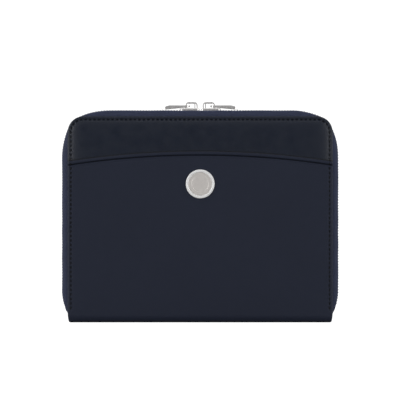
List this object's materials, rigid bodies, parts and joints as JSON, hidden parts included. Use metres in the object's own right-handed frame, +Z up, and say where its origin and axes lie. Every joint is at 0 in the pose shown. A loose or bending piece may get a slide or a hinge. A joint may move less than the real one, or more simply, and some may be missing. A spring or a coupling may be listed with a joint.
{
  "type": "zip around wallet",
  "caption": "Leather wallet with a coil zip round three sides, head-to-head sliders, an arched front slip pocket with a round metal badge, and card slots and pockets inside.",
  "frame": {"origin": "middle of the spine's flat underside, with the wallet closed and standing on its spine", "axes": "+Z up from the spine to the top run of the zip, +X along the spine to the right, -Y out of the front cover with the pocket and badge"},
  "size_m": [0.152, 0.025, 0.121],
  "materials": {
    "leather_smooth": "smooth semi-gloss navy leather",
    "leather_matte": "matte fine-grain navy leather",
    "leather_inner": "soft navy lining leather",
    "lining_fabric": "navy twill lining",
    "board": "pressed board",
    "thread": "dark navy bonded thread",
    "zip_tape": "woven navy zip tape with a slight sheen",
    "zip_coil": "navy nylon coil",
    "polished_metal": "polished nickel plating",
    "satin_metal": "satin nickel",
    "spring_steel": "plain steel"
  },
  "bodies": {
    "spine": {"spine_leather": "leather_matte", "spine_board": "board", "spine_lining": "lining_fabric", "zip_end_stop_left": "zip_coil", "zip_end_stop_right": "zip_coil", "zip_end_tab_left": "leather_smooth", "zip_end_tab_right": "leather_smooth"},
    "front_cover": {"front_pocket_panel": "leather_matte", "front_cover_leather": "leather_smooth", "front_cover_board": "board", "front_cover_lining": "lining_fabric", "front_card_slot_1": "leather_inner", "front_card_slot_2": "leather_inner", "front_card_slot_3": "leather_inner", "front_card_slot_4": "leather_inner", "front_edge_stitching": "thread", "front_zip_tape": "zip_tape", "front_zip_coil": "zip_coil", "badge_bezel": "polished_metal", "badge_disc": "satin_metal", "badge_rivet": "spring_steel", "badge_washer": "spring_steel"},
    "back_cover": {"back_cover_leather": "leather_smooth", "back_cover_board": "board", "back_cover_lining": "lining_fabric", "back_note_pocket": "leather_inner", "back_passport_pocket": "leather_inner", "back_edge_stitching": "thread", "back_zip_tape": "zip_tape", "back_zip_coil": "zip_coil"},
    "slider_left": {"slider_body_left": "polished_metal", "slider_crown_left": "polished_metal", "slider_lock_spring_left": "spring_steel"},
    "slider_right": {"slider_body_right": "polished_metal", "slider_crown_right": "polished_metal", "slider_lock_spring_right": "spring_steel"},
    "pull_left": {"pull_tab_left": "polished_metal"},
    "pull_right": {"pull_tab_right": "polished_metal"}
  },
  "joints": [
    {"name": "front_cover_hinge", "type": "hinge", "parent": "spine", "child": "front_cover", "pos_m": [0, -0.01114, 0.00086], "axis": [1, 0, 0], "range_deg": [0, 89], "deforming": ["front_zip_tape", "front_zip_coil"]},
    {"name": "back_cover_hinge", "type": "hinge", "parent": "spine", "child": "back_cover", "pos_m": [0, 0.01114, 0.00086], "axis": [-1, 0, 0], "range_deg": [0, 90], "deforming": ["back_zip_tape", "back_zip_coil"]},
    {"name": "slider_left_slide", "type": "slide", "parent": "back_cover", "child": "slider_left", "axis": [-1, 0, 0], "range_m": [0, 0.04]},
    {"name": "slider_right_slide", "type": "slide", "parent": "back_cover", "child": "slider_right", "axis": [1, 0, 0], "range_m": [0, 0.04]},
    {"name": "pull_left_hinge", "type": "hinge", "parent": "slider_left", "child": "pull_left", "pos_m": [-0.006, 0, 0.1186], "axis": [0, 1, 0], "range_deg": [0, 95]},
    {"name": "pull_right_hinge", "type": "hinge", "parent": "slider_right", "child": "pull_right", "pos_m": [0.006, 0, 0.1186], "axis": [0, -1, 0], "range_deg": [0, 95]}
  ]
}
